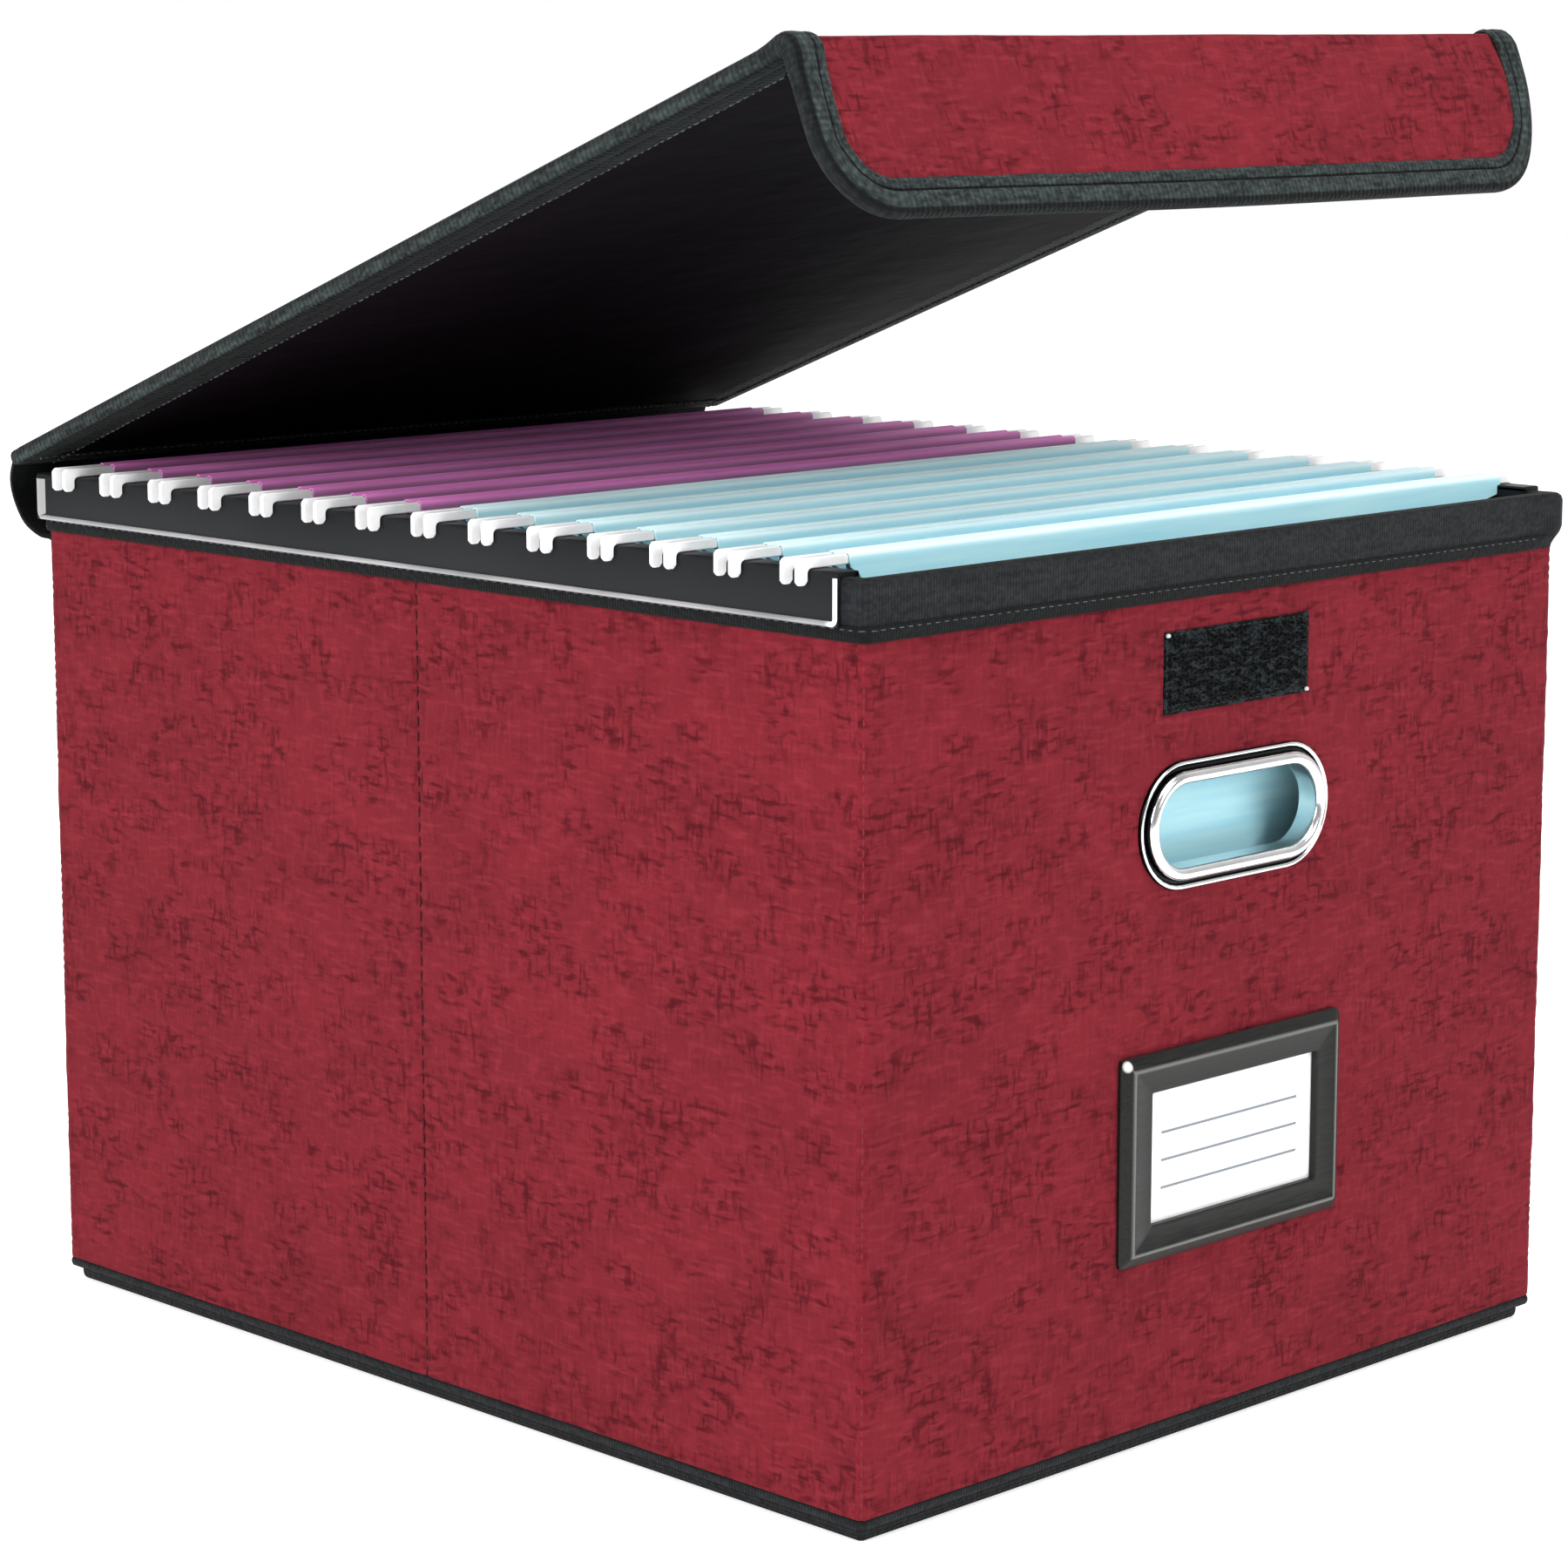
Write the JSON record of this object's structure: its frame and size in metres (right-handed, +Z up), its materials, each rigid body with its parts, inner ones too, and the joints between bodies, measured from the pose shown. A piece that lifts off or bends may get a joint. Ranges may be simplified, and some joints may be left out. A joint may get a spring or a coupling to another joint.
{
  "type": "portable file box",
  "caption": "Fabric-covered file box with a soft-hinged lid and front flap, side rails, handle rings, a label holder and hanging folders.",
  "frame": {"origin": "centre of the underside, on the table", "axes": "+Z up, -Y out of the front with the label holder, +X to the right seen from the front"},
  "size_m": [0.3316, 0.4036, 0.4212],
  "materials": {
    "red_fabric": "slubbed linen-look weave",
    "black_tape": "ribbed woven tape",
    "dark_lining": "smooth non-woven lining",
    "stiff_board": "grey chipboard",
    "rail_plastic": "extruded, satin",
    "holder_plastic": "moulded, satin",
    "chromed_plastic": "bright plated",
    "violet_card": "coated folder card",
    "blue_card": "coated folder card",
    "white_plastic": "coated hanger rods",
    "white_card": "plain card, ruled lines",
    "touch_fastener": "hook and loop pile"
  },
  "bodies": {
    "box": {"base_board": "stiff_board", "base_cover": "black_tape", "front_board": "stiff_board", "back_board": "stiff_board", "left_boards": "stiff_board", "right_boards": "stiff_board", "front_cover": "red_fabric", "back_cover": "red_fabric", "left_cover": "red_fabric", "right_cover": "red_fabric", "wall_lining": "dark_lining", "rim_tape": "black_tape", "left_rail": "rail_plastic", "right_rail": "rail_plastic", "front_handle_ring": "chromed_plastic", "front_handle_backing": "chromed_plastic", "back_handle_ring": "chromed_plastic", "back_handle_backing": "chromed_plastic", "label_holder": "holder_plastic", "loop_patch": "touch_fastener", "lid_hinge_strip": "black_tape"},
    "lid": {"lid_board": "stiff_board", "lid_cover": "red_fabric", "lid_lining": "dark_lining", "lid_edge_tape": "black_tape"},
    "flap": {"flap_board": "stiff_board", "flap_cover": "red_fabric", "flap_lining": "dark_lining", "flap_edge_tape": "black_tape", "hook_patch": "touch_fastener"},
    "card": {"label_card": "white_card"},
    "bottom": {"insert_board": "dark_lining"},
    "file_01": {"folder_01": "violet_card", "hangers_01": "white_plastic"},
    "file_02": {"folder_02": "violet_card", "hangers_02": "white_plastic"},
    "file_03": {"folder_03": "violet_card", "hangers_03": "white_plastic"},
    "file_04": {"folder_04": "violet_card", "hangers_04": "white_plastic"},
    "file_05": {"folder_05": "violet_card", "hangers_05": "white_plastic"},
    "file_06": {"folder_06": "violet_card", "hangers_06": "white_plastic"},
    "file_07": {"folder_07": "violet_card", "hangers_07": "white_plastic"},
    "file_08": {"folder_08": "blue_card", "hangers_08": "white_plastic"},
    "file_09": {"folder_09": "blue_card", "hangers_09": "white_plastic"},
    "file_10": {"folder_10": "blue_card", "hangers_10": "white_plastic"},
    "file_11": {"folder_11": "blue_card", "hangers_11": "white_plastic"},
    "file_12": {"folder_12": "blue_card", "hangers_12": "white_plastic"},
    "file_13": {"folder_13": "blue_card", "hangers_13": "white_plastic"},
    "file_14": {"folder_14": "blue_card", "hangers_14": "white_plastic"}
  },
  "joints": [
    {"name": "lid_hinge", "type": "hinge", "parent": "box", "child": "lid", "pos_m": [0, 0.194, 0.262], "axis": [-1, 0, 0], "range_deg": [-20.5, 159], "deforming": ["lid_hinge_strip"]},
    {"name": "flap_hinge", "type": "hinge", "parent": "lid", "child": "flap", "pos_m": [0, -0.16368, 0.42076], "axis": [-1, 0, 0], "range_deg": [0, 180]},
    {"name": "card_slide", "type": "slide", "parent": "box", "child": "card", "axis": [1, 0, 0], "range_m": [0, 0.09]},
    {"name": "bottom_lift", "type": "slide", "parent": "box", "child": "bottom", "axis": [0, 0, 1], "range_m": [0, 0.025]},
    {"name": "file_01_slide", "type": "slide", "parent": "box", "child": "file_01", "axis": [0, -1, 0], "range_m": [-0.006, 0.006]},
    {"name": "file_02_slide", "type": "slide", "parent": "box", "child": "file_02", "axis": [0, -1, 0], "range_m": [-0.006, 0.006]},
    {"name": "file_03_slide", "type": "slide", "parent": "box", "child": "file_03", "axis": [0, -1, 0], "range_m": [-0.006, 0.006]},
    {"name": "file_04_slide", "type": "slide", "parent": "box", "child": "file_04", "axis": [0, -1, 0], "range_m": [-0.006, 0.006]},
    {"name": "file_05_slide", "type": "slide", "parent": "box", "child": "file_05", "axis": [0, -1, 0], "range_m": [-0.006, 0.006]},
    {"name": "file_06_slide", "type": "slide", "parent": "box", "child": "file_06", "axis": [0, -1, 0], "range_m": [-0.006, 0.006]},
    {"name": "file_07_slide", "type": "slide", "parent": "box", "child": "file_07", "axis": [0, -1, 0], "range_m": [-0.006, 0.006]},
    {"name": "file_08_slide", "type": "slide", "parent": "box", "child": "file_08", "axis": [0, -1, 0], "range_m": [-0.006, 0.006]},
    {"name": "file_09_slide", "type": "slide", "parent": "box", "child": "file_09", "axis": [0, -1, 0], "range_m": [-0.006, 0.006]},
    {"name": "file_10_slide", "type": "slide", "parent": "box", "child": "file_10", "axis": [0, -1, 0], "range_m": [-0.006, 0.006]},
    {"name": "file_11_slide", "type": "slide", "parent": "box", "child": "file_11", "axis": [0, -1, 0], "range_m": [-0.006, 0.006]},
    {"name": "file_12_slide", "type": "slide", "parent": "box", "child": "file_12", "axis": [0, -1, 0], "range_m": [-0.006, 0.006]},
    {"name": "file_13_slide", "type": "slide", "parent": "box", "child": "file_13", "axis": [0, -1, 0], "range_m": [-0.006, 0.006]},
    {"name": "file_14_slide", "type": "slide", "parent": "box", "child": "file_14", "axis": [0, -1, 0], "range_m": [-0.006, 0.006]}
  ]
}
